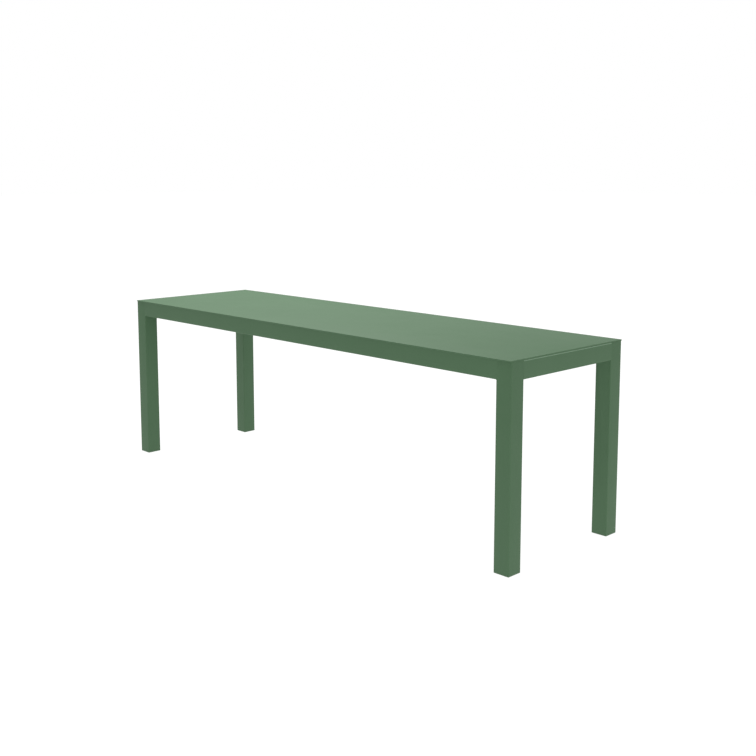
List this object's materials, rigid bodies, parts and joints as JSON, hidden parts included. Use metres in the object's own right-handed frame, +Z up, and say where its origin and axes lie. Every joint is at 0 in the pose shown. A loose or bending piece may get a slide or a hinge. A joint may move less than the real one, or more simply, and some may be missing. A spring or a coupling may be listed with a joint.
{
  "type": "backless bench",
  "caption": "Backless outdoor bench: flat powder-coated sheet-steel seat on a square-tube frame with square legs and foot glides.",
  "frame": {"origin": "on the floor, under the middle of the seat", "axes": "+X along the bench towards its right end, +Y across it from front to rear, +Z up"},
  "size_m": [1.39, 0.395, 0.45],
  "materials": {
    "green_powder_coat": "satin",
    "glide_plastic": "matte",
    "damping_tape": "matte",
    "plug_aluminium": "satin",
    "zinc_steel": "satin"
  },
  "bodies": {
    "root": {"bearer_1": "green_powder_coat", "bearer_1_front_bracket": "green_powder_coat", "bearer_1_rear_bracket": "green_powder_coat", "bearer_1_tape": "damping_tape", "bearer_2": "green_powder_coat", "bearer_2_front_bracket": "green_powder_coat", "bearer_2_rear_bracket": "green_powder_coat", "bearer_2_tape": "damping_tape", "bearer_3": "green_powder_coat", "bearer_3_front_bracket": "green_powder_coat", "bearer_3_rear_bracket": "green_powder_coat", "bearer_3_tape": "damping_tape", "bearer_4": "green_powder_coat", "bearer_4_front_bracket": "green_powder_coat", "bearer_4_rear_bracket": "green_powder_coat", "bearer_4_tape": "damping_tape", "bracket_rivet_nuts": "zinc_steel", "bracket_screws": "zinc_steel", "frame_welds": "green_powder_coat", "front_left_glide": "glide_plastic", "front_left_leg": "green_powder_coat", "front_left_plug": "plug_aluminium", "front_rail": "green_powder_coat", "front_right_glide": "glide_plastic", "front_right_leg": "green_powder_coat", "front_right_plug": "plug_aluminium", "left_end_rail": "green_powder_coat", "locking_screws": "zinc_steel", "plug_rivet_nuts": "zinc_steel", "plug_screws": "zinc_steel", "rear_left_glide": "glide_plastic", "rear_left_leg": "green_powder_coat", "rear_left_plug": "plug_aluminium", "rear_rail": "green_powder_coat", "rear_right_glide": "glide_plastic", "rear_right_leg": "green_powder_coat", "rear_right_plug": "plug_aluminium", "right_end_rail": "green_powder_coat", "seat_plate": "green_powder_coat", "seat_seams": "green_powder_coat", "seat_studs": "zinc_steel", "stud_lock_nuts": "zinc_steel", "stud_washers": "zinc_steel"}
  },
  "joints": []
}
